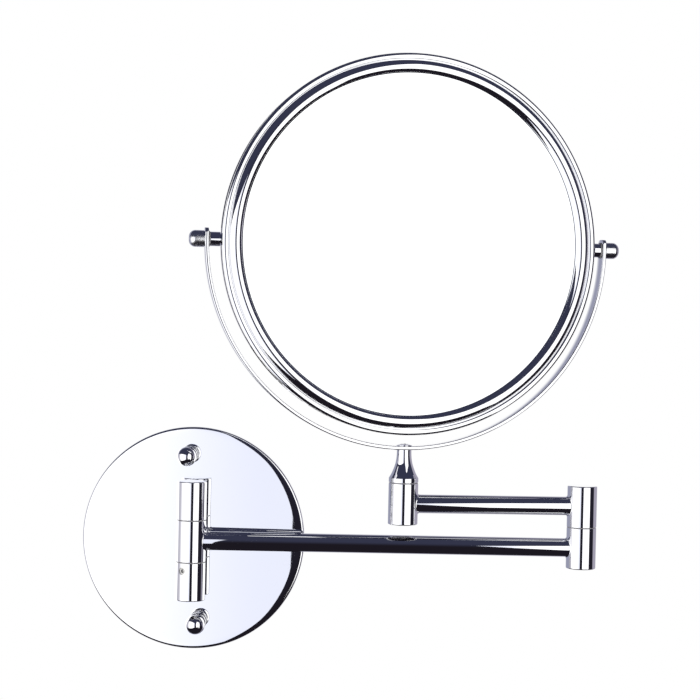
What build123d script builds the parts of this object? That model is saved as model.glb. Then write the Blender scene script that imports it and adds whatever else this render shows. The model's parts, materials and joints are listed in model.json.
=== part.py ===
"""Extendable shaving mirror: wall plate, two-part swinging arm, yoke and double-sided round mirror.

Frame: the origin is the centre of the plate's back, on the wall. +X is to the right,
+Y goes into the wall, so the mirror faces -Y, and +Z is up. All sizes are in millimetres.
"""
import os
from math import atan2, cos, degrees, radians, sin, sqrt

from build123d import *

os.makedirs("parts", exist_ok=True)

# ---- driving dimensions ---------------------------------------------------------------
PLATE_R = 60.0  # wall plate
PLATE_DEPTH = 8.0
# edge of the plate: (radius, slope where it ends), from the flat face outwards
PLATE_ROUNDS = ((70.0, 1.2), (12.0, 8.0), (1.8, 31.0), (1.35, 90.0))
SHEET = 1.2
FIXING_PCD = 90.0  # the two wall fixings
FIXING_TILT = 4.0  # the upper fixing leans this many degrees to the left
FIXING_HOLE_R = 2.6
STUD_BORE_R = 2.1
BALL_R = 5.2
BALL_OUT = 11.5  # ball centre from the plate's face

AXIS_Y = -18.5  # hinge axes in front of the wall
BARREL_R = 8.0
KNUCKLE_H = 22.0  # moving knuckles
FIXED_H = 20.4  # fixed knuckles
END_ROUND = 0.6  # rounding of the barrels: free ends and split lines
SPLIT_ROUND = 0.2
GAP = 0.4  # split line filled by a washer
WASHER = 0.36
PIN_R = 3.5
BUSH_IN = 3.55
BUSH_OUT = 5.0
TUBE_R = 5.0
TUBE_WALL = 1.0
STUB = 9.6  # end of the welded stub from the barrel's axis
SPIGOT = 6.0  # length of the plug inside the tube
LOWER_LEN = 209.0  # wall hinge to elbow
UPPER_LEN = 96.4  # elbow to swivel
LOWER_TURN = 2.5  # rest angles about +Z: the folded lower arm leans to the wall
UPPER_TURN = 5.0
HEAD_TURN = 12.5

STRAP_R = 109.0  # outside radius of the yoke
STRAP_T = 2.0
STRAP_W = 9.0
TAB_RISE = 5.8  # the strap ends stand this far above the pivots
TAB_CORNER = 2.6
POST_H = 17.4  # cone post from the swivel's split line to the strap
FRAME_R = 101.0  # mirror frame
HOOP_R = 100.7
HOOP_HALF = 3.4
HOOP_WALL = 1.5
BOSS_R = 3.3
LIP_R = 90.5  # visible edge of the glass
BEAD_R = 4.0  # round inner bead of the bezel
BEAD_AT = (93.94, 3.9)  # its centre: radius, height above the middle plane
ROLL_R = 2.8  # lower outer roll of the bezel
ROLL_AT = 99.4
MIRROR_SHIFT = 0.9  # the frame sits this far to the right between its pivots
GLASS_R = 93.0
POCKET_R = 93.2
GLASS_FACE = 4.2  # glass face from the mirror's middle plane
GLASS_T = 2.2
BOWL_T = 1.9  # magnifying glass
BOWL_R = 1040.0
STUD_R = 2.0

UPPER_Z = KNUCKLE_H + GAP  # height of the upper arm's axis
POST_Z = UPPER_Z + KNUCKLE_H / 2 + GAP
HEAD_Z = POST_Z + POST_H + STRAP_R

# ---- frames of the moving bodies ------------------------------------------------------
def step_along(start, length, degrees):
    a = radians(degrees)
    return start[0] + length * cos(a), start[1] + length * sin(a)


elbow = step_along((0, AXIS_Y), LOWER_LEN, LOWER_TURN)
swivel = step_along(elbow, -UPPER_LEN, UPPER_TURN)
WALL = Location((0, 0, 0))
LOWER = Location((0, AXIS_Y, 0), (0, 0, LOWER_TURN))
UPPER = Location((*elbow, UPPER_Z), (0, 0, UPPER_TURN))
YOKE = Location((*swivel, HEAD_Z), (0, 0, HEAD_TURN))
MIRROR = YOKE * Location((MIRROR_SHIFT, 0, 0))


# ---- helpers --------------------------------------------------------------------------
def cyl(r, z0, z1, x=0.0, y=0.0):
    """Upright cylinder between two heights."""
    return Pos(x, y, (z0 + z1) / 2) * Cylinder(r, z1 - z0)


def tube(r_out, r_in, z0, z1):
    return cyl(r_out, z0, z1) - cyl(r_in, z0 - 1, z1 + 1)


def along_x(shape):
    """Turn an upright shape so that its +Z end points along +X."""
    return Rot(0, 90, 0) * shape


def to_front(shape):
    """Turn an upright shape so that its +Z end points out of the wall (-Y)."""
    return Rot(90, 0, 0) * shape


def lathe(*pieces):
    """Spin a closed outline of (radius, height) pieces about Z.

    Each piece is a list of points: two make a line, three an arc through the middle one,
    more make a smooth curve.
    """
    edges = []
    for p in pieces:
        pts = [(r, 0, z) for r, z in p]
        if len(pts) == 2:
            edges.append(Line(*pts))
        elif len(pts) == 3:
            edges.append(ThreePointArc(*pts))
        else:
            edges.append(Spline(*pts))
    return revolve(make_face(edges), Axis.Z)


def poly_lathe(*pts):
    ring = list(pts) + [pts[0]]
    return lathe(*[[a, b] for a, b in zip(ring, ring[1:])])


def arc(cr, cz, r, a0, a1):
    """Start, middle and end points of an arc given in degrees."""
    return [(cr + r * cos(radians(a)), cz + r * sin(radians(a))) for a in (a0, (a0 + a1) / 2, a1)]


def round_ends(shape, h, free):
    """Round both ends of an upright barrel: free ends (+1 top, -1 bottom) more than split lines."""
    for end in (1, -1):
        rim = [
            e
            for e in shape.edges().filter_by(GeomType.CIRCLE)
            if abs(e.radius - BARREL_R) < 1e-3 and abs(e.center().Z - end * h / 2) < 1e-3
        ]
        shape = fillet(rim, END_ROUND if end in free else SPLIT_ROUND)
    return shape


def barrel(side, free=()):
    """Moving barrel of a hinge with a welded stub for the tube along X (side +1 or -1)."""
    h = KNUCKLE_H
    body = cyl(BARREL_R, -h / 2, h / 2) + Rot(0, 90 * side, 0) * cyl(TUBE_R, 0, STUB)
    weld = [e for e in body.edges() if e.geom_type not in (GeomType.LINE, GeomType.CIRCLE)]
    body = fillet(weld, 0.9)
    body += Rot(0, 90 * side, 0) * cyl(TUBE_R - TUBE_WALL, STUB - 1, STUB + SPIGOT)
    return round_ends(body, h, free)


# ---- wall mount -----------------------------------------------------------------------
def fixing_spots():
    a = radians(FIXING_TILT)
    return [(-s * FIXING_PCD / 2 * sin(a), s * FIXING_PCD / 2 * cos(a)) for s in (1, -1)]


STEM_Z = GAP + KNUCKLE_H / 2 + FIXED_H / 2  # height of the fixed knuckles' middles


def plate_edge(inset):
    """Arcs from the flat face to the rim, moved inwards by the sheet's thickness."""
    r, z, slope, pieces = 0.0, 0.0, 0.0, []
    for radius, end in PLATE_ROUNDS:
        cr, cz = r - radius * sin(radians(slope)), z - radius * cos(radians(slope))
        pieces.append(arc(cr, cz, radius - inset, 90 - slope, 90 - end))
        r, z, slope = cr + radius * sin(radians(end)), cz + radius * cos(radians(end)), end
    return [[(PLATE_R - r + x, PLATE_DEPTH + h) for x, h in piece] for piece in pieces]


def wall_plate():
    outer, inner = plate_edge(0), plate_edge(SHEET)
    shell = lathe(
        [(0, PLATE_DEPTH), outer[0][0]],
        *outer,
        [outer[-1][-1], (PLATE_R, 0)],
        [(PLATE_R, 0), (PLATE_R - SHEET, 0)],
        [(PLATE_R - SHEET, 0), inner[-1][-1]],
        *[piece[::-1] for piece in reversed(inner)],
        [inner[0][0], (0, PLATE_DEPTH - SHEET)],
        [(0, PLATE_DEPTH - SHEET), (0, PLATE_DEPTH)],
    )
    for x, z in fixing_spots():
        shell -= cyl(FIXING_HOLE_R, -1, 10, x, z)
    for z in (STEM_Z, -STEM_Z):
        shell -= cyl(2.15, -1, 10, 0, z)
    return to_front(shell)


def backing_plate():
    core = poly_lathe(
        (0, 0),
        (58.5, 0),
        (58.5, 5.6),
        (58.35, 5.9),
        (57.3, 6.35),
        (52.0, PLATE_DEPTH - SHEET),
        (0, PLATE_DEPTH - SHEET),
    )
    for x, z in fixing_spots():
        core -= cyl(FIXING_HOLE_R, -1, 10, x, z)
    for z in (STEM_Z, -STEM_Z):
        core -= cyl(2.15, -1, 10, 0, z) + cyl(4.3, -1, 3.4, 0, z)
    # lightening pockets left open to the wall
    for a in (0, 45, 135, 180, 225, 315):
        core -= Rot(0, 0, a) * cyl(9.0, -1, 5.0, 40, 0)
    return to_front(core)


def fixed_knuckle(side):
    """side is +1 for the upper knuckle and -1 for the lower one."""
    body = cyl(BARREL_R, -FIXED_H / 2, FIXED_H / 2)
    reach = AXIS_Y + PLATE_DEPTH  # plate face seen from the axis, negative of the distance
    body += Rot(-90, 0, 0) * cyl(5.5, 0, -reach)
    weld = [e for e in body.edges() if e.geom_type not in (GeomType.LINE, GeomType.CIRCLE)]
    body = fillet(weld, 0.7)
    body = round_ends(body, FIXED_H, (side,))
    if side > 0:
        body -= cyl(PIN_R, -20, 3.2)
    else:
        body -= cyl(PIN_R, -20, 20)
        body -= grub_place(cyl(2.0, PIN_R - 0.2, 12), FIXED_H / 2 - 4.2)
    body -= Rot(-90, 0, 0) * cyl(2.0, PIN_R + 0.6, 20)
    return Pos(0, AXIS_Y, side * STEM_Z) * body


def grub_place(shape, z):
    """Lay an upright shape along the set screw's direction, 29 degrees to the left of the front."""
    return Pos(0, 0, z) * Rot(0, 0, -119) * along_x(shape)


def pin_grub_screw():
    screw = cyl(2.0, PIN_R, 7.3)
    screw -= Pos(0, 0, 6.3) * extrude(RegularPolygon(1.0, 6, major_radius=False), 2)
    return Pos(0, AXIS_Y, -STEM_Z) * grub_place(screw, FIXED_H / 2 - 4.2)


def stem_screws():
    screw = cyl(2.0, 3.4, PLATE_DEPTH + 6.2) + (cyl(3.9, 0.8, 3.4) - cyl(1.6, 0, 2.2))
    return [to_front(Pos(0, z, 0) * screw) for z in (STEM_Z, -STEM_Z)]


def wall_hinge_pin():
    bottom = -STEM_Z - FIXED_H / 2
    pin = cyl(PIN_R, bottom, STEM_Z + 3.2)
    rims = pin.edges().filter_by(GeomType.CIRCLE)
    pin = chamfer(rims, 0.4)
    pin -= Pos(0, 0, bottom) * Box(8, 0.9, 1.6)
    return Pos(0, AXIS_Y, 0) * pin


def wall_hinge_washers():
    z = KNUCKLE_H / 2 + GAP
    ring = tube(BARREL_R - 0.3, PIN_R, z - WASHER, z)
    return [Pos(0, AXIS_Y, 0) * ring, Pos(0, AXIS_Y, 0) * Rot(180, 0, 0) * ring]


def ball_nut():
    """Cap nut standing on Z, with z = 0 on the plate's face."""
    neck = 3.2
    ball_z = BALL_OUT - sqrt(BALL_R**2 - neck**2)
    body = lathe(
        [(0, 0.5), (4.7, 0.5)],
        [(4.7, 0.5), (4.7, 1.5)],
        arc(4.3, 1.5, 0.4, 0, 90),
        [(4.3, 1.9), (3.7, 1.9)],
        [(3.7, 1.9), (3.6, 2.6), (4.0, 3.2)],
        [(4.0, 3.2), (4.7, 3.4), (4.95, 4.1)],
        arc(3.05, 4.1, 1.9, 0, 85),
        [(3.05 + 1.9 * cos(radians(85)), 4.1 + 1.9 * sin(radians(85))), (neck, ball_z)],
        [(neck, ball_z), (BALL_R, BALL_OUT), (0, BALL_OUT + BALL_R)],
        [(0, BALL_OUT + BALL_R), (0, 0.5)],
    )
    return body - cyl(STUD_BORE_R, 0, 9.5)


def at_fixings(shape):
    return [to_front(Pos(x, z, PLATE_DEPTH) * shape) for x, z in fixing_spots()]


def ball_nuts():
    return at_fixings(ball_nut())


def ball_nut_seats():
    return at_fixings(tube(4.5, 2.4, 0, 0.5))


# ---- lower arm (frame: wall hinge axis, tube along +X) ---------------------------------
def lower_arm_knuckle():
    return barrel(1) - cyl(BUSH_OUT, -20, 20)


def bush(z0, z1):
    return tube(BUSH_OUT, BUSH_IN, z0, z1)


def arm_tube(length):
    return along_x(tube(TUBE_R, TUBE_R - TUBE_WALL, STUB, length - STUB))


def lower_arm_elbow_knuckle():
    body = barrel(-1, free=(-1,))
    return Pos(LOWER_LEN, 0, 0) * (body - cyl(PIN_R, -8, 20))


def elbow_pin():
    pin = cyl(PIN_R, -8, KNUCKLE_H / 2 + GAP + 17.5)
    return Pos(LOWER_LEN, 0, 0) * chamfer(pin.edges().filter_by(GeomType.CIRCLE), 0.4)


def elbow_washer():
    z = KNUCKLE_H / 2
    return Pos(LOWER_LEN, 0, 0) * tube(BARREL_R - 0.3, PIN_R, z, z + WASHER)


# ---- upper arm (frame: elbow axis at the tube's height, tube along -X) ------------------
def upper_arm_knuckle():
    return barrel(-1, free=(1,)) - cyl(BUSH_OUT, -20, 8.0)


def upper_arm_bush():
    return bush(-KNUCKLE_H / 2, 8.0)


def upper_arm_tube():
    return Rot(0, 0, 180) * arm_tube(UPPER_LEN)


POCKET_TOP = -5.4  # top of the nut pocket inside the swivel barrel


def swivel_barrel():
    body = barrel(1, free=(-1,))
    body -= cyl(BUSH_OUT, POCKET_TOP + 2, 20) + cyl(3.9, -20, 20) + cyl(6.3, -20, POCKET_TOP)
    return Pos(-UPPER_LEN, 0, 0) * body


def swivel_bush():
    return Pos(-UPPER_LEN, 0, 0) * bush(POCKET_TOP + 2, KNUCKLE_H / 2)


def swivel_washer():
    z = KNUCKLE_H / 2
    return Pos(-UPPER_LEN, 0, 0) * tube(BARREL_R - 0.3, PIN_R + 0.3, z, z + WASHER)


# ---- yoke (frame: middle of the mirror, pivots along X) ---------------------------------
BASE = -STRAP_R - POST_H  # split line under the cone


def swivel_cone():
    b = BASE
    body = lathe(
        [(0, b), (BARREL_R - 0.3, b)],
        [(BARREL_R - 0.3, b), (BARREL_R, b + 0.3)],
        [(BARREL_R, b + 0.3), (BARREL_R, b + 2.4)],
        [(BARREL_R, b + 2.4), (7.65, b + 3.0), (7.03, b + 4.0), (5.75, b + 6.8), (4.9, b + 9.1),
         (4.35, b + 11.3), (4.0, b + 14.2), (3.9, b + POST_H)],
        [(3.9, b + POST_H), (0, b + POST_H)],
        [(0, b + POST_H), (0, b)],
    )
    return body - cyl(3.0, b - 1, b + 8) - cyl(STUD_R, b + 10, b + 30)


def swivel_pin():
    """Pin screwed into the cone; its thinner lower end carries the lock nut."""
    low = BASE - GAP - KNUCKLE_H / 2 + POCKET_TOP  # shoulder inside the swivel barrel
    pin = cyl(PIN_R, low, BASE) + cyl(3.0, BASE - 0.5, BASE + 8) + cyl(3.0, low - 5.2, low + 0.5)
    return pin


def swivel_spring_washer():
    low = BASE - GAP - KNUCKLE_H / 2 + POCKET_TOP
    ring = lathe(
        [(3.0, low - 0.04), (5.6, low - 0.04)],
        [(5.6, low - 0.04), (5.6, low - 0.64)],
        [(5.6, low - 0.64), (3.0, low - 0.84)],
        [(3.0, low - 0.84), (3.0, low - 0.04)],
    )
    return ring


def swivel_lock_nut():
    low = BASE - GAP - KNUCKLE_H / 2 + POCKET_TOP
    nut = Pos(0, 0, low - 4.6) * extrude(RegularPolygon(5.0, 6, major_radius=False), 3.76)
    return nut - cyl(3.0, low - 8, low + 1)


def half_ring():
    band = Rot(90, 0, 0) * Cylinder(STRAP_R, STRAP_W) - Rot(90, 0, 0) * Cylinder(STRAP_R - STRAP_T, 20)
    return band - Pos(0, 0, 150) * Box(300, 40, 300)


def yoke_strap():
    strap = half_ring()
    for side in (1, -1):
        tab = Pos(0, 0, TAB_RISE / 2) * Box(STRAP_T, STRAP_W, TAB_RISE)
        corners = tab.edges().filter_by(Axis.X).group_by(Axis.Z)[-1]
        tab = fillet(corners, TAB_CORNER)
        strap += Pos(side * (STRAP_R - STRAP_T / 2), 0, 0) * tab
    strap -= along_x(cyl(STUD_R + 0.06, -120, 120))
    return strap - cyl(STUD_R, BASE, -90)


def yoke_screw():
    z = -STRAP_R + STRAP_T
    head = lathe(
        [(0, z - 0.1), (4.2, z - 0.1)],
        [(4.2, z - 0.1), (4.2, z + 0.4)],
        [(4.2, z + 0.4), (2.6, z + 0.9), (0, z + 1.1)],
        [(0, z + 1.1), (0, z - 0.1)],
    )
    head -= Pos(0, 0, z + 1.6) * (Box(4.2, 0.8, 2.0) + Box(0.8, 4.2, 2.0))
    return (head - half_ring()) + cyl(STUD_R, z - 8, z + 0.3)


# ---- mirror (pivot parts in the yoke's frame, the rest in the shifted one) --------------
WASHER_X = 106.3  # inner face of the pivot washers


def both_sides(shape):
    """Copies on the two pivots of an upright shape whose +Z is outward."""
    return [Rot(0, 90 * side, 0) * shape for side in (1, -1)]


def pivot_washers():
    return both_sides(tube(4.2, STUD_R, WASHER_X, WASHER_X + 0.5))


def pivot_collars():
    collars = []
    for side in (1, -1):
        x = HOOP_R + side * MIRROR_SHIFT
        body = lathe(
            [(STUD_R, x), (3.2, x)],
            [(3.2, x), (3.2, x + 0.6)],
            [(3.2, x + 0.6), (3.8, x + 1.2)],
            [(3.8, x + 1.2), (3.8, WASHER_X - 0.3)],
            [(3.8, WASHER_X - 0.3), (3.5, WASHER_X)],
            [(3.5, WASHER_X), (STUD_R, WASHER_X)],
            [(STUD_R, WASHER_X), (STUD_R, x)],
        )
        collars.append(Rot(0, 90 * side, 0) * body)
    return collars


def pivot_studs():
    return [Rot(0, 90 * k, 0) * cyl(STUD_R, 95.0 + k * MIRROR_SHIFT, 114.6) for k in (1, -1)]


def dome_nuts():
    x = STRAP_R + 0.04
    body = lathe(
        [(0, x), (4.1, x)],
        [(4.1, x), (4.4, x + 0.3)],
        [(4.4, x + 0.3), (4.4, x + 4.6)],
        arc(1.0, x + 4.6, 3.4, 0, 90),
        [(1.0, x + 8.0), (0, x + 8.0)],
        [(0, x + 8.0), (0, x)],
    )
    return both_sides(body - cyl(STUD_R, x - 1, 114.8))


def mirror_hoop():
    """Thin outer band with a boss for each pivot stud."""
    ring = to_front(tube(HOOP_R, HOOP_R - HOOP_WALL, -HOOP_HALF, HOOP_HALF))
    for side in (1, -1):
        ring += Rot(0, 90 * side, 0) * cyl(BOSS_R, 94.5, HOOP_R - HOOP_WALL / 2)
        ring -= Rot(0, 90 * side, 0) * cyl(STUD_R, 94, 120)
    return ring


def bezel():
    """Stepped ring: a low outer roll, a taller round bead and a short wall down to the glass."""
    bead = arc(*BEAD_AT, BEAD_R, 20, 147)
    join = bead[0]
    roll_z = join[1] - sqrt(ROLL_R**2 - (ROLL_AT - join[0]) ** 2)
    turn = degrees(atan2(join[1] - roll_z, join[0] - ROLL_AT))
    roll = arc(ROLL_AT, roll_z, ROLL_R, 58, turn)
    return lathe(
        [(POCKET_R, HOOP_HALF), (FRAME_R - 0.15, HOOP_HALF)],
        [(FRAME_R - 0.15, HOOP_HALF), (FRAME_R, HOOP_HALF + 0.2)],
        [(FRAME_R, HOOP_HALF + 0.2), (FRAME_R, roll[0][1] - 0.15)],
        [(FRAME_R, roll[0][1] - 0.15), roll[0]],
        roll,
        bead,
        [bead[-1], (LIP_R, bead[-1][1] - 0.15)],
        [(LIP_R, bead[-1][1] - 0.15), (LIP_R, GLASS_FACE)],
        [(LIP_R, GLASS_FACE), (POCKET_R, GLASS_FACE)],
        [(POCKET_R, GLASS_FACE), (POCKET_R, HOOP_HALF)],
    )


def front_bezel():
    return to_front(bezel())


def rear_bezel():
    return Rot(-90, 0, 0) * bezel()


def flat_glass():
    disc = cyl(GLASS_R, GLASS_FACE - GLASS_T, GLASS_FACE)
    return to_front(chamfer(disc.edges().filter_by(GeomType.CIRCLE), 0.3))


def bowl_z(r, back=0.0):
    """Depth of the hollow glass at a radius, measured from the middle plane towards the rear."""
    rim = BOWL_R - sqrt(BOWL_R**2 - GLASS_R**2)
    here = BOWL_R - sqrt(BOWL_R**2 - r**2)
    return GLASS_FACE - (rim - here) - back


def magnifying_glass():
    half = GLASS_R / 2
    body = lathe(
        [(0, bowl_z(0)), (half, bowl_z(half)), (GLASS_R, bowl_z(GLASS_R))],
        [(GLASS_R, bowl_z(GLASS_R)), (GLASS_R, bowl_z(GLASS_R, BOWL_T))],
        [(GLASS_R, bowl_z(GLASS_R, BOWL_T)), (half, bowl_z(half, BOWL_T)), (0, bowl_z(0, BOWL_T))],
        [(0, bowl_z(0, BOWL_T)), (0, bowl_z(0))],
    )
    return Rot(-90, 0, 0) * body


def glass_core():
    """Moulded ring between the hoop and the two glasses, with a rib that keeps them apart."""
    r_in, r_out, side = 87.0, HOOP_R - HOOP_WALL, HOOP_HALF - 0.05
    ring = poly_lathe(
        (r_in, -bowl_z(r_in, BOWL_T) + 0.02),
        (GLASS_R, -bowl_z(GLASS_R, BOWL_T) + 0.02),
        (GLASS_R + 0.1, -bowl_z(GLASS_R, BOWL_T)),
        (GLASS_R + 0.1, -side),
        (r_out, -side),
        (r_out, side),
        (GLASS_R + 0.1, side),
        (GLASS_R + 0.1, GLASS_FACE - GLASS_T),
        (r_in, GLASS_FACE - GLASS_T),
    )
    return to_front(ring) - along_x(cyl(BOSS_R, -120, -94.5)) - along_x(cyl(BOSS_R, 94.5, 120))


# ---- write one file per node ------------------------------------------------------------
NODES = {
    "wall_plate": (WALL, wall_plate),
    "backing_plate": (WALL, backing_plate),
    "ball_nuts": (WALL, ball_nuts),
    "ball_nut_seats": (WALL, ball_nut_seats),
    "hinge_knuckle_top": (WALL, lambda: fixed_knuckle(1)),
    "hinge_knuckle_bottom": (WALL, lambda: fixed_knuckle(-1)),
    "stem_screws": (WALL, stem_screws),
    "wall_hinge_pin": (WALL, wall_hinge_pin),
    "pin_grub_screw": (WALL, pin_grub_screw),
    "wall_hinge_washers": (WALL, wall_hinge_washers),
    "lower_arm_knuckle": (LOWER, lower_arm_knuckle),
    "lower_arm_bush": (LOWER, lambda: bush(-KNUCKLE_H / 2, KNUCKLE_H / 2)),
    "lower_arm_tube": (LOWER, lambda: arm_tube(LOWER_LEN)),
    "lower_arm_elbow_knuckle": (LOWER, lower_arm_elbow_knuckle),
    "elbow_pin": (LOWER, elbow_pin),
    "elbow_washer": (LOWER, elbow_washer),
    "upper_arm_knuckle": (UPPER, upper_arm_knuckle),
    "upper_arm_bush": (UPPER, upper_arm_bush),
    "upper_arm_tube": (UPPER, upper_arm_tube),
    "swivel_barrel": (UPPER, swivel_barrel),
    "swivel_bush": (UPPER, swivel_bush),
    "swivel_washer": (UPPER, swivel_washer),
    "swivel_cone": (YOKE, swivel_cone),
    "swivel_pin": (YOKE, swivel_pin),
    "swivel_spring_washer": (YOKE, swivel_spring_washer),
    "swivel_lock_nut": (YOKE, swivel_lock_nut),
    "yoke_strap": (YOKE, yoke_strap),
    "yoke_screw": (YOKE, yoke_screw),
    "pivot_washers": (YOKE, pivot_washers),
    "pivot_collars": (YOKE, pivot_collars),
    "pivot_studs": (YOKE, pivot_studs),
    "dome_nuts": (YOKE, dome_nuts),
    "mirror_hoop": (MIRROR, mirror_hoop),
    "front_bezel": (MIRROR, front_bezel),
    "rear_bezel": (MIRROR, rear_bezel),
    "flat_glass": (MIRROR, flat_glass),
    "magnifying_glass": (MIRROR, magnifying_glass),
    "glass_core": (MIRROR, glass_core),
}

for name, (frame, make) in NODES.items():
    made = make()
    solids = [s for piece in (made if isinstance(made, list) else [made]) for s in piece.solids()]
    placed = [frame * s for s in solids]
    export_step(placed[0] if len(placed) == 1 else Compound(placed), f"parts/{name}.step")
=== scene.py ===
"""Looks of the extendable shaving mirror: polished chrome, silvered glass, nylon and steel
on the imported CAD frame, in a white studio with a dark opening behind the camera."""
import json
import math

import bmesh
import bpy
from mathutils import Matrix, Vector


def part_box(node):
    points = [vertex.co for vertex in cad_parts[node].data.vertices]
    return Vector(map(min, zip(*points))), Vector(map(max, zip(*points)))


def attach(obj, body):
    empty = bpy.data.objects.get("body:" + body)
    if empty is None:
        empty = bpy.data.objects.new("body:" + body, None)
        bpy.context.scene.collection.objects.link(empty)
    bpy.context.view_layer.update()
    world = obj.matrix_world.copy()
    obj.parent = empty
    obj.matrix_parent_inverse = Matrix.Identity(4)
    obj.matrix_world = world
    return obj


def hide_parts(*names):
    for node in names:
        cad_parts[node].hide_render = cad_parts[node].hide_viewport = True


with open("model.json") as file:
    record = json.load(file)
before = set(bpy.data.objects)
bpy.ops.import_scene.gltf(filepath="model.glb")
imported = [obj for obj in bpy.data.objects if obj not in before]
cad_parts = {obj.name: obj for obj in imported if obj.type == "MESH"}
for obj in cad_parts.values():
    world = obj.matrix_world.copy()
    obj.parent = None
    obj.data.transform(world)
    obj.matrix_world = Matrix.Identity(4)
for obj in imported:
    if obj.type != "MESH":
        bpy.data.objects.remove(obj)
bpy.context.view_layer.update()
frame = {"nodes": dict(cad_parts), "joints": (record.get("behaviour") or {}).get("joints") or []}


# ---- small helpers -------------------------------------------------------------------
class Tree:
    """A node tree being built: add() makes a node and sets its inputs."""

    def __init__(self, tree):
        self.tree = tree
        tree.nodes.clear()

    def add(self, kind, inputs=None, **settings):
        node = self.tree.nodes.new(kind)
        for key, value in settings.items():
            setattr(node, key, value)
        for key, value in (inputs or {}).items():
            if isinstance(value, bpy.types.NodeSocket):
                self.tree.links.new(value, node.inputs[key])
            else:
                node.inputs[key].default_value = value
        return node

    def mix(self, a, b, share):
        """Colour a where the share is 0, colour b where it is 1."""
        node = self.add("ShaderNodeMix", {0: share}, data_type="RGBA")
        for index, value in ((6, a), (7, b)):  # the two colour inputs
            if isinstance(value, bpy.types.NodeSocket):
                self.tree.links.new(value, node.inputs[index])
            else:
                node.inputs[index].default_value = (*value, 1.0)
        return node.outputs[2]

    def spread(self, value, low, high, out_low, out_high):
        """The value's range low..high turned smoothly into out_low..out_high."""
        return self.add(
            "ShaderNodeMapRange",
            {0: value, 1: low, 2: high, 3: out_low, 4: out_high},
            interpolation_type="SMOOTHSTEP",
        ).outputs[0]

    def noise(self, place, scale, detail=3.0, rough=0.5):
        return self.add(
            "ShaderNodeTexNoise",
            {"Vector": place, "Scale": scale, "Detail": detail, "Roughness": rough},
        ).outputs[0]


def material(name):
    made = bpy.data.materials.new(name)
    made.use_nodes = True
    return made, Tree(made.node_tree)


def stretched(tree, place, size, turn=(0.0, 0.0, 0.0)):
    """Texture coordinates scaled and turned, for marks that run one way."""
    return tree.add(
        "ShaderNodeMapping", {"Vector": place, "Scale": size, "Rotation": turn}
    ).outputs[0]


def finish_shader(tree, bump_height, bump_depth, **sockets):
    """End a material with a bumped principled shader; bump_depth is in metres."""
    bump = tree.add(
        "ShaderNodeBump", {"Height": bump_height, "Distance": bump_depth, "Strength": 1.0}
    ).outputs[0]
    shader = tree.add("ShaderNodeBsdfPrincipled", {"Normal": bump})
    for key, value in sockets.items():
        key = key.replace("_", " ")
        if isinstance(value, bpy.types.NodeSocket):
            tree.tree.links.new(value, shader.inputs[key])
        else:
            shader.inputs[key].default_value = value
    out = tree.add("ShaderNodeOutputMaterial")
    tree.tree.links.new(shader.outputs[0], out.inputs[0])


# ---- materials -----------------------------------------------------------------------
def chrome(name="polished_chrome", dull=0.0):
    """Bright plating with faint haze, smears, hairlines and a slow ripple; dull adds roughness."""
    made, t = material(name)
    place = t.add("ShaderNodeTexCoord").outputs["Object"]
    cloud = t.noise(place, 38.0, 4.0, 0.6)
    smear = t.noise(stretched(t, place, (60.0, 240.0, 420.0)), 1.0, 2.0)
    hair = t.noise(stretched(t, place, (90.0, 2600.0, 1900.0), (0.2, 0.5, 0.9)), 1.0, 2.0)
    haze = t.spread(cloud, 0.45, 0.75, 0.012 + dull, 0.045 + dull * 1.3)
    rough = t.add("ShaderNodeMath", {0: haze, 1: t.spread(smear, 0.55, 0.8, 0.0, 0.02)},
                  operation="ADD").outputs[0]
    tint = t.mix((0.93, 0.935, 0.955), (0.955, 0.955, 0.965), cloud)
    ripple = t.noise(place, 16.0, 1.0)
    height = t.add("ShaderNodeMath", {0: ripple, 1: t.spread(hair, 0.72, 0.8, 0.0, 0.012)},
                   operation="SUBTRACT").outputs[0]
    finish_shader(t, height, 0.00002, Base_Color=tint, Metallic=1.0, Roughness=rough)
    return made


def silvered_glass():
    """Silver seen through a clear coat of glass, with a little haze and dust."""
    made, t = material("silvered_glass")
    place = t.add("ShaderNodeTexCoord").outputs["Object"]
    cloud = t.noise(place, 22.0, 4.0, 0.65)
    dust = t.noise(place, 900.0, 1.0)
    rough = t.add("ShaderNodeMath", {0: t.spread(cloud, 0.5, 0.8, 0.0, 0.018),
                                     1: t.spread(dust, 0.74, 0.8, 0.0, 0.05)},
                  operation="ADD").outputs[0]
    tint = t.mix((0.955, 0.97, 0.965), (0.97, 0.98, 0.975), cloud)
    wave = t.noise(place, 9.0, 0.0)
    finish_shader(t, wave, 0.000004, Base_Color=tint, Metallic=1.0, Roughness=rough,
                  Coat_Weight=1.0, Coat_Roughness=0.0, Coat_IOR=1.52)
    return made


def turned_steel():
    """Plain steel with fine parallel lines and a slight stain."""
    made, t = material("turned_steel")
    place = t.add("ShaderNodeTexCoord").outputs["Object"]
    lines = t.noise(stretched(t, place, (500.0, 500.0, 9000.0)), 1.0, 3.0)
    stain = t.noise(place, 120.0, 3.0)
    rough = t.spread(lines, 0.3, 0.7, 0.2, 0.36)
    tint = t.mix((0.5, 0.5, 0.49), (0.66, 0.65, 0.63), stain)
    finish_shader(t, lines, 0.00003, Base_Color=tint, Metallic=1.0, Roughness=rough)
    return made


def nylon():
    made, t = material("natural_nylon")
    place = t.add("ShaderNodeTexCoord").outputs["Object"]
    grain = t.noise(place, 2600.0, 2.0)
    cloud = t.noise(place, 150.0, 3.0)
    tint = t.mix((0.32, 0.31, 0.31), (0.42, 0.41, 0.41), cloud)
    finish_shader(t, grain, 0.00002, Base_Color=tint,
                  Roughness=t.spread(cloud, 0.3, 0.7, 0.38, 0.55))
    return made


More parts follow.
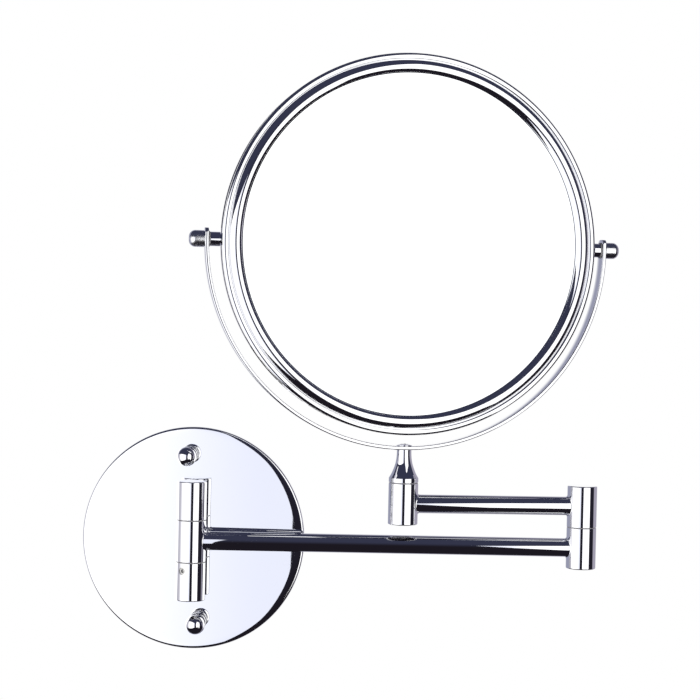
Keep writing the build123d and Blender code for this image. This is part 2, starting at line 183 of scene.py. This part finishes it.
def moulded_plastic():
    made, t = material("moulded_plastic")
    place = t.add("ShaderNodeTexCoord").outputs["Object"]
    grain = t.add("ShaderNodeTexVoronoi", {"Vector": place, "Scale": 1500.0}).outputs[0]
    cloud = t.noise(place, 60.0, 4.0)
    tint = t.mix((0.055, 0.055, 0.06), (0.095, 0.095, 0.105), cloud)
    finish_shader(t, grain, 0.00005, Base_Color=tint,
                  Roughness=t.spread(cloud, 0.3, 0.7, 0.42, 0.62))
    return made


FINISH = {
    "chrome": chrome(),
    "soft_chrome": chrome("tumbled_chrome", 0.2),
    "mirror_glass": silvered_glass(),
    "steel": turned_steel(),
    "nylon": nylon(),
    "core_plastic": moulded_plastic(),
}

for node in frame["nodes"].values():
    for slot in node.material_slots:
        slot.material = FINISH[slot.material.name]


# ---- round pieces rebuilt with a fine mesh --------------------------------------------
MM = 0.001
SEGMENTS, NUT_SEGMENTS = 360, 120  # faces round a turned piece
SHARP = 32.0  # degrees between two faces from which their edge stays sharp
SAME_POINT, ON_AXIS = 1e-4, 1e-6  # mm


def arc(centre_r, centre_h, radius, start, end, step=3.0):
    """Outline points (radius, height) in millimetres of an arc from start to end in degrees."""
    count = max(2, int(abs(end - start) / step) + 1)
    angles = [math.radians(start + (end - start) * k / count) for k in range(count + 1)]
    return [(centre_r + radius * math.cos(a), centre_h + radius * math.sin(a)) for a in angles]


def turned(name, outline, placings, body, look, nodes, closed=True, segments=SEGMENTS):
    """Spin an outline of (radius, height) in millimetres about Z and put a copy at each placing.

    A closed outline is a ring's section; an open one runs from the axis back to the axis."""
    points = [p for k, p in enumerate(outline)
              if k == 0 or math.dist(p, outline[k - 1]) > SAME_POINT]
    mesh = bpy.data.meshes.new(name)
    build = bmesh.new()
    rings = []
    for r, h in points:
        if r < ON_AXIS:
            rings.append([build.verts.new((0, 0, h * MM))] * segments)
            continue
        ring = []
        for k in range(segments):
            a = 2 * math.pi * k / segments
            ring.append(build.verts.new((r * MM * math.cos(a), r * MM * math.sin(a), h * MM)))
        rings.append(ring)
    pairs = list(zip(rings, rings[1:])) + ([(rings[-1], rings[0])] if closed else [])
    for one, two in pairs:
        for k in range(segments):
            n = (k + 1) % segments
            corners = []  # three of them beside the axis
            for v in (one[k], one[n], two[n], two[k]):
                if v not in corners:
                    corners.append(v)
            build.faces.new(corners)
    bmesh.ops.recalc_face_normals(build, faces=build.faces)
    for face in build.faces:
        face.smooth = True
    build.to_mesh(mesh)
    build.free()
    mesh.set_sharp_from_angle(angle=math.radians(SHARP))
    mesh.materials.append(FINISH[look])
    for k, placing in enumerate(placings):
        placed = mesh.copy()
        placed.transform(placing)
        obj = bpy.data.objects.new(name if len(placings) == 1 else f"{name}_{k + 1}", placed)
        bpy.context.scene.collection.objects.link(obj)
        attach(obj, body)
        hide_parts(*nodes)
    bpy.data.meshes.remove(mesh)


# where the turned pieces go: their axis, Z, points out of the wall (FRONT) or into it (REAR)
FRONT = Matrix.Rotation(math.radians(90), 4, "X")
REAR = Matrix.Rotation(math.radians(-90), 4, "X")
flip = next(j for j in frame["joints"] if j["name"] == "mirror_flip")
YOKE_TURN = math.atan2(flip["axis"][1], flip["axis"][0])
YOKE = Matrix.Translation(flip["pos_m"]) @ Matrix.Rotation(YOKE_TURN, 4, "Z")
glass_low, glass_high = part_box("flat_glass")
# the mirror sits a little off the middle of its yoke, along the flip axis
MIRROR_SHIFT = ((glass_low + glass_high) / 2 - Vector(flip["pos_m"])).dot(Vector(flip["axis"]))
MIRROR = YOKE @ Matrix.Translation((MIRROR_SHIFT, 0, 0))

# wall plate: flat face, soft shoulder, tight rim
PLATE_R, PLATE_DEPTH, SHEET = 60.0, 8.0, 1.2
# the edge's arcs from the face outwards: radius, slope at the far end, degrees between points
PLATE_ROUNDS = ((90.0, 1.2, 0.3), (14.0, 8.0, 1.0), (1.3, 31.0, 4.0), (1.35, 90.0, 4.0))


def plate_edge(inset):
    """The plate's edge as outline points; an inset of the sheet's thickness gives the inside."""
    r, z, slope, points = 0.0, 0.0, 0.0, []
    for radius, end, step in PLATE_ROUNDS:
        start, stop = math.radians(slope), math.radians(end)
        cr, cz = r - radius * math.sin(start), z - radius * math.cos(start)
        points += arc(cr, cz, radius - inset, 90 - slope, 90 - end, step)
        r, z = cr + radius * math.sin(stop), cz + radius * math.cos(stop)
        slope = end
    return [(PLATE_R - r + x, PLATE_DEPTH + h) for x, h in points]


plate = [(r, PLATE_DEPTH) for r in (0, 20, 40, 54, 55)]
plate += plate_edge(0) + [(PLATE_R, 0), (PLATE_R - SHEET, 0)] + plate_edge(SHEET)[::-1]
plate += [(r, PLATE_DEPTH - SHEET) for r in (52, 0)]
turned("plate_shell", plate, [FRONT], "wall_mount", "chrome", ["wall_plate"], closed=False)

# bezels: low outer roll, tall round bead, wall down to the glass; heights are from mid-frame
RIM_R, LIP_R, POCKET_R = 101.0, 90.5, 93.2  # outside, edge over the glass, pocket round the glass
BACK_H, GLASS_FACE = 3.4, 4.2
BREAK = 0.15  # broken corners
BEAD_AT, BEAD_H, BEAD_R = 93.94, 3.9, 4.0
ROLL_AT, ROLL_R = 99.4, 2.8
bead = arc(BEAD_AT, BEAD_H, BEAD_R, 20, 147)
meet_r, meet_h = bead[0]  # where the roll runs into the bead
ROLL_H = meet_h - math.sqrt(ROLL_R**2 - (ROLL_AT - meet_r) ** 2)
meet_angle = math.degrees(math.atan2(meet_h - ROLL_H, meet_r - ROLL_AT))
roll = arc(ROLL_AT, ROLL_H, ROLL_R, 58, meet_angle)
bezel = [(POCKET_R, BACK_H), (RIM_R - BREAK, BACK_H), (RIM_R, 3.6), (RIM_R, roll[0][1] - BREAK)]
bezel += roll + bead + [(LIP_R, bead[-1][1] - BREAK), (LIP_R, GLASS_FACE), (POCKET_R, GLASS_FACE)]
turned("bezel_front", bezel, [MIRROR @ FRONT], "mirror", "chrome", ["front_bezel"])
turned("bezel_rear", bezel, [MIRROR @ REAR], "mirror", "chrome", ["rear_bezel"])

# magnifying glass: shallow bowl facing the rear
BOWL_R, BOWL_T, GLASS_R = 1040.0, 1.9, 93.0


def bowl(r):
    """Height of the hollow face at radius r."""
    return GLASS_FACE - math.sqrt(BOWL_R**2 - r**2) + math.sqrt(BOWL_R**2 - GLASS_R**2)


hollow = [(r, bowl(r)) for r in (0, 1, 2, 4, 7, 11, 16, 22, 30, 40, 50, 60, 70, 80, 88, GLASS_R)]
hollow += [(r, bowl(r) - BOWL_T) for r in (GLASS_R, 70, 40, 20, 0)]
turned("bowl_glass", hollow, [MIRROR @ REAR], "mirror", "mirror_glass", ["magnifying_glass"],
       closed=False)

# ball-headed fixing nuts: a flange and a domed collar with a groove between, then the ball
TILT, NUT_CIRCLE = math.radians(4.0), 90.0  # the upper nut is to the left of the lower one
SPOTS = [(-k * NUT_CIRCLE / 2 * math.sin(TILT), k * NUT_CIRCLE / 2 * math.cos(TILT))
         for k in (1, -1)]
BALL_R, BALL_H, NECK_R = 5.2, 11.5, 3.2
neck_angle = math.degrees(math.asin(-math.sqrt(BALL_R**2 - NECK_R**2) / BALL_R))
nut = [(0, 0.5), (4.7, 0.5), (4.7, 1.5)] + arc(4.3, 1.5, 0.4, 0, 90, 15)
nut += [(3.7, 1.9), (3.6, 2.6), (4.0, 3.2)]
nut += arc(4.25, 3.9, 0.7, -80, -10, 12) + arc(3.05, 4.1, 1.9, 0, 85, 5)
nut += arc(0, BALL_H, BALL_R, neck_angle, 90, 4)
ON_PLATE = [Matrix.Translation((x * MM, -PLATE_DEPTH * MM, z * MM)) @ FRONT for x, z in SPOTS]
turned("ball_nut", nut, ON_PLATE, "wall_mount", "chrome", ["ball_nuts"],
       closed=False, segments=NUT_SEGMENTS)

# dome nuts: short cylinder with a rounded end, standing on the outside of the strap
DOME_R, DOME_ROUND, DOME_H, DOME_AT = 4.4, 3.4, 8.0, 109.04
dome = [(0, 0), (4.1, 0), (DOME_R, 0.3), (DOME_R, 1.5), (DOME_R, 3.0)]
dome += arc(DOME_R - DOME_ROUND, DOME_H - DOME_ROUND, DOME_ROUND, 0, 90, 5) + [(0, DOME_H)]
OUTWARDS = [Matrix.Rotation(math.radians(90 * k), 4, "Y") for k in (1, -1)]
turned("dome_nut", dome, [YOKE @ out @ Matrix.Translation((0, 0, DOME_AT * MM)) for out in OUTWARDS],
       "mirror", "soft_chrome", ["dome_nuts"], closed=False, segments=NUT_SEGMENTS)


# yoke strap: flat half ring with softened edges; its ends rise past the pivots, round-cornered
STRAP_R, STRAP_T, STRAP_W = 109.0, 2.0, 9.0
STRAP_MID = STRAP_R - STRAP_T / 2
TAB_RISE, TAB_CORNER = 5.8, 2.6
SOFT = 0.6  # radius of the long edges
HOLE_R = 2.06  # for the pivot studs and the screw
STRAP_SHARP = 50.0  # degrees


def strap_section(half_width):
    """Rounded rectangle as (across the thickness, along the width)."""
    points = []
    for ct, cw, start in ((1, 1, 0), (-1, 1, 90), (-1, -1, 180), (1, -1, 270)):
        for k in range(5):
            a = math.radians(start + 22.5 * k)
            points.append((ct * (STRAP_T / 2 - SOFT) + SOFT * math.cos(a),
                           cw * (half_width - SOFT) + SOFT * math.sin(a)))
    return points


def strap_stations():
    """(centre, outward direction, half width) from the left tip round to the right tip."""
    half = STRAP_W / 2
    flat = half - TAB_CORNER
    rise = []
    for corner in (90, 80, 70, 60, 50, 38, 26, 14, 0):
        a = math.radians(corner)
        rise.append((TAB_RISE - TAB_CORNER * (1 - math.sin(a)), flat + TAB_CORNER * math.cos(a)))
    stations = [((-STRAP_MID, h), (-1, 0), wide) for h, wide in rise]
    for k in range(181):
        a = math.radians(180 + k)
        out = (math.cos(a), math.sin(a))
        stations.append(((STRAP_MID * out[0], STRAP_MID * out[1]), out, half))
    return stations + [((STRAP_MID, h), (1, 0), wide) for h, wide in reversed(rise)]


def drilled(mesh, holes, radius):
    """The mesh with round holes cut through it, each a placing and a length in millimetres."""
    body = bpy.data.objects.new("blank", mesh)
    bpy.context.scene.collection.objects.link(body)
    drills = []
    for placing, length in holes:
        build = bmesh.new()
        bmesh.ops.create_cone(build, cap_ends=True, segments=48, radius1=radius * MM,
                              radius2=radius * MM, depth=length * MM, matrix=placing)
        bit = bpy.data.meshes.new("drill")
        build.to_mesh(bit)
        build.free()
        drill = bpy.data.objects.new("drill", bit)
        bpy.context.scene.collection.objects.link(drill)
        cut = body.modifiers.new("hole", "BOOLEAN")
        cut.operation, cut.solver, cut.object = "DIFFERENCE", "EXACT", drill
        drills.append(drill)
    ready = bpy.context.evaluated_depsgraph_get()
    result = bpy.data.meshes.new_from_object(body.evaluated_get(ready))
    for spare in (body, *drills):
        bpy.data.objects.remove(spare)
    return result


def yoke_strap():
    """Join the stations' sections into one band, drill it and hand it to the yoke."""
    mesh = bpy.data.meshes.new("strap_band")
    build = bmesh.new()
    rings = []
    for (x, z), (ox, oz), wide in strap_stations():
        rings.append([build.verts.new(((x + t * ox) * MM, y * MM, (z + t * oz) * MM))
                      for t, y in strap_section(wide)])
    for one, two in zip(rings, rings[1:]):
        for k in range(len(one)):
            n = (k + 1) % len(one)
            build.faces.new((one[k], one[n], two[n], two[k]))
    build.faces.new(rings[0])
    build.faces.new(rings[-1])
    bmesh.ops.recalc_face_normals(build, faces=build.faces)
    for face in build.faces:
        face.smooth = True
    build.to_mesh(mesh)
    build.free()
    both_ends = (Matrix.Rotation(math.radians(90), 4, "Y"), 240.0)
    bottom = (Matrix.Translation((0, 0, -STRAP_MID * MM)), 8.0)
    band = drilled(mesh, [both_ends, bottom], HOLE_R)
    band.set_sharp_from_angle(angle=math.radians(STRAP_SHARP))
    band.materials.append(FINISH["chrome"])
    band.transform(YOKE)
    obj = bpy.data.objects.new("strap_band", band)
    bpy.context.scene.collection.objects.link(obj)
    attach(obj, "yoke")
    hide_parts("yoke_strap")


yoke_strap()

# ---- studio: panels of light that only reflections see --------------------------------
WHITE = (1.0, 1.0, 1.0)
LILAC = (0.655, 0.675, 0.77)
DIM = (0.5, 0.49, 0.53)
DUSK, DUSK_EDGE = (0.42, 0.41, 0.46), (0.3, 0.3, 0.34)
NIGHT = (0.02, 0.02, 0.035)
LIGHT = 1.35


def emissive(name, stops):
    """Light whose colour runs across the panel's generated X through the given stops."""
    made, t = material(name)
    across = t.add("ShaderNodeSeparateXYZ", {0: t.add("ShaderNodeTexCoord").outputs["Generated"]})
    ramp = t.add("ShaderNodeValToRGB", {0: across.outputs[0]})
    ramp.color_ramp.interpolation = "EASE"
    while len(ramp.color_ramp.elements) < len(stops):
        ramp.color_ramp.elements.new(0.5)
    for element, (where, colour) in zip(ramp.color_ramp.elements, stops):
        element.position = where
        element.color = (*colour, 1.0)
    glow = t.add("ShaderNodeEmission", {0: ramp.outputs[0], 1: LIGHT})
    out = t.add("ShaderNodeOutputMaterial")
    t.tree.links.new(glow.outputs[0], out.inputs[0])
    return made


def panel(name, corners, look):
    """A flat stage panel from its corners, seen in reflections but not by the camera."""
    mesh = bpy.data.meshes.new(name)
    mesh.from_pydata(corners, [], [tuple(range(len(corners)))])
    mesh.materials.append(look)
    obj = bpy.data.objects.new(name, mesh)
    bpy.context.scene.collection.objects.link(obj)
    obj.visible_camera = False


# the left panel slants from beside the wall to behind the camera, where the others stand; the
# dark bands in the chrome are the opening between left and right
PANEL_Y = -0.95
EDGE_X, SEAM_Z = 1.787, -0.55  # right edge of the light, and where right and low panels meet
SIDE_X, SIDE_Y = -0.60, 0.20
left_look = emissive("light_left", [(0.0, DUSK_EDGE), (0.2, DUSK), (0.36, WHITE), (0.58, WHITE),
                                    (0.95, LILAC), (0.985, LILAC), (1.0, NIGHT)])
right_look = emissive("light_right", [(0.0, LILAC), (0.06, WHITE), (0.9, WHITE), (1.0, DIM)])
low_look = emissive("light_low", [(0.0, NIGHT), (0.2, WHITE), (0.9, WHITE), (1.0, DIM)])
panel("panel_left", [(SIDE_X, SIDE_Y, -0.25), (-0.005, PANEL_Y, -0.46), (0.015, PANEL_Y, 0.40),
                     (SIDE_X, SIDE_Y, 0.17)], left_look)
panel("panel_right", [(0.40, PANEL_Y, -0.50), (EDGE_X, PANEL_Y, SEAM_Z), (EDGE_X, PANEL_Y, 0.95),
                      (0.62, PANEL_Y, 0.95), (0.42, PANEL_Y, 0.50), (0.285, PANEL_Y, 0.10),
                      (0.33, PANEL_Y, -0.20)], right_look)
panel("panel_low", [(1.75, PANEL_Y, -1.3), (EDGE_X, PANEL_Y, -1.3), (EDGE_X, PANEL_Y, SEAM_Z),
                    (1.0, PANEL_Y, SEAM_Z)], low_look)

# the sky: white to the camera; reflections see dark towards the camera and steeply up or
# down, grey towards the wall, and white straight into it
world = bpy.data.worlds.new("studio")
bpy.context.scene.world = world
world.use_nodes = True
w = Tree(world.node_tree)
heading = w.add("ShaderNodeSeparateXYZ", {0: w.add("ShaderNodeTexCoord").outputs["Generated"]})
right, back, up = heading.outputs
steep = w.add("ShaderNodeMath", {0: up}, operation="ABSOLUTE").outputs[0]
lift = w.add("ShaderNodeMath", {0: steep, 1: 0.8}, operation="MULTIPLY").outputs[0]
low_back = w.add("ShaderNodeMath", {0: back, 1: lift}, operation="SUBTRACT").outputs[0]
dark = w.mix((0.012, 0.010, 0.015), (0.035, 0.038, 0.07), w.spread(up, -0.3, 0.5, 0.0, 1.0))
grey = w.mix((0.32, 0.33, 0.43), (0.38, 0.36, 0.44), w.spread(right, -0.3, 0.3, 0.0, 1.0))
room = w.mix(dark, grey, w.spread(low_back, -0.02, 0.12, 0.0, 1.0))
room = w.mix(room, WHITE, w.spread(back, 0.86, 0.985, 0.0, 1.0))
seen = w.mix(room, WHITE, w.add("ShaderNodeLightPath").outputs["Is Camera Ray"])
sky = w.add("ShaderNodeBackground", {0: seen, 1: 1.0})
w.tree.links.new(sky.outputs[0], w.add("ShaderNodeOutputWorld").inputs[0])

# ---- floor ---------------------------------------------------------------------------
FLOOR_Z, FLOOR_SIDE, FLOOR_BACK = -0.6, 3.0, 1.6
floor_mesh = bpy.data.meshes.new("floor")
floor_mesh.from_pydata([(-FLOOR_SIDE, -FLOOR_SIDE, FLOOR_Z), (FLOOR_SIDE, -FLOOR_SIDE, FLOOR_Z),
                        (FLOOR_SIDE, FLOOR_BACK, FLOOR_Z), (-FLOOR_SIDE, FLOOR_BACK, FLOOR_Z)],
                       [], [(0, 1, 2, 3)])
floor_look, t = material("pale_floor")
spot = t.add("ShaderNodeTexCoord").outputs["Object"]
pale = t.mix((0.80, 0.80, 0.81), (0.84, 0.84, 0.85), t.noise(spot, 6.0))
finish_shader(t, t.noise(spot, 40.0), 0.0002, Base_Color=(0.5, 0.5, 0.5, 1.0), Roughness=0.7,
              Emission_Color=pale, Emission_Strength=0.8)
floor_mesh.materials.append(floor_look)
floor = bpy.data.objects.new("floor", floor_mesh)
bpy.context.scene.collection.objects.link(floor)
floor.visible_glossy = False  # the chrome reflects the sky in its place

# ---- camera --------------------------------------------------------------------------
CAMERA_AT = (0.1026, -0.9279, 0.1199)
YAW, PITCH, ROLL = -1.2507, -1.0252, 1.238  # degrees
LENS, SENSOR = 87.9, 36.0  # mm
camera_data = bpy.data.cameras.new("camera")
camera_data.sensor_width = SENSOR
camera_data.lens = LENS
camera = bpy.data.objects.new("camera", camera_data)
camera.matrix_world = (
    Matrix.Translation(CAMERA_AT)
    @ Matrix.Rotation(math.radians(-YAW), 4, "Z")
    @ Matrix.Rotation(math.radians(90 + PITCH), 4, "X")
    @ Matrix.Rotation(math.radians(ROLL), 4, "Z")
)
bpy.context.scene.collection.objects.link(camera)
bpy.context.scene.camera = camera
bpy.context.scene.view_settings.view_transform = "Standard"
